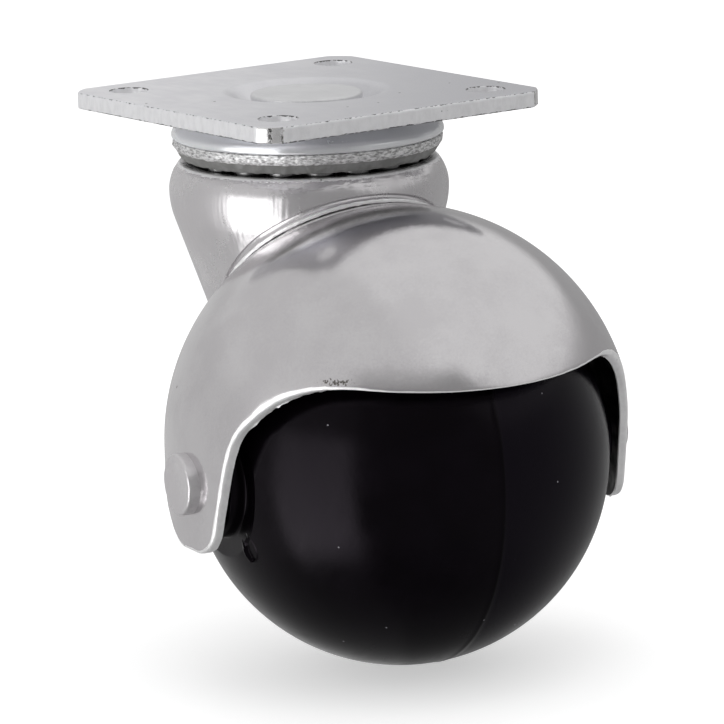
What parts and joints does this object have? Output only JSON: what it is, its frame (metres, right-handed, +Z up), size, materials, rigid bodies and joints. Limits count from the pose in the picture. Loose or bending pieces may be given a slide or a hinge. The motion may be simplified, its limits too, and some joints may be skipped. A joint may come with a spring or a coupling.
{
  "type": "ball castor",
  "caption": "Hooded ball castor: a black moulded ball on an axle under a bright domed hood, swivelling on a ball bearing below a square screw plate.",
  "frame": {"origin": "centre of the plate's upper mounting face, on the swivel axis", "axes": "+Z up out of the mounting face, X and Y along the plate's sides; at rest the ball trails towards -Y, turned 10.7 degrees clockwise about +Z seen from above"},
  "size_m": [0.0587, 0.0694, 0.0661],
  "materials": {
    "plate_zinc": "matt zinc plate",
    "cover_zinc": "smooth bluish zinc plate",
    "race_steel": "zinc plate over a sheared edge",
    "kingpin_steel": "dull zinc plate",
    "bearing_steel": "polished steel with a film of grease",
    "horn_nickel": "polished nickel plate",
    "hood_nickel": "polished nickel plate",
    "rivet_nickel": "dull nickel plate",
    "ball_plastic": "black moulded plastic, satin gloss"
  },
  "bodies": {
    "plate": {"top_plate": "plate_zinc", "dust_cover": "cover_zinc", "upper_race": "race_steel", "kingpin": "kingpin_steel", "thrust_washer": "race_steel"},
    "bearing": {"bearing_ball_01": "bearing_steel", "bearing_ball_02": "bearing_steel", "bearing_ball_03": "bearing_steel", "bearing_ball_04": "bearing_steel", "bearing_ball_05": "bearing_steel", "bearing_ball_06": "bearing_steel", "bearing_ball_07": "bearing_steel", "bearing_ball_08": "bearing_steel", "bearing_ball_09": "bearing_steel", "bearing_ball_10": "bearing_steel", "bearing_ball_11": "bearing_steel", "bearing_ball_12": "bearing_steel", "bearing_ball_13": "bearing_steel", "bearing_ball_14": "bearing_steel", "bearing_ball_15": "bearing_steel", "bearing_ball_16": "bearing_steel", "bearing_ball_17": "bearing_steel", "bearing_ball_18": "bearing_steel"},
    "swivel": {"horn": "horn_nickel", "hood": "hood_nickel", "axle_rivet": "rivet_nickel"},
    "ball": {"ball": "ball_plastic"}
  },
  "joints": [
    {"name": "swivel", "type": "hinge", "parent": "plate", "child": "swivel", "pos_m": [0, 0, 0], "axis": [0, 0, 1], "continuous": true},
    {"name": "bearing_roll", "type": "hinge", "parent": "plate", "child": "bearing", "pos_m": [0, 0, 0], "axis": [0, 0, 1], "continuous": true},
    {"name": "ball_roll", "type": "hinge", "parent": "swivel", "child": "ball", "pos_m": [-0.00427, -0.0226, -0.041], "axis": [0.9826, -0.1857, 0], "continuous": true}
  ],
  "couplings": [
    {"joint": "bearing_roll", "follows": "swivel", "ratio": 0.5}
  ]
}
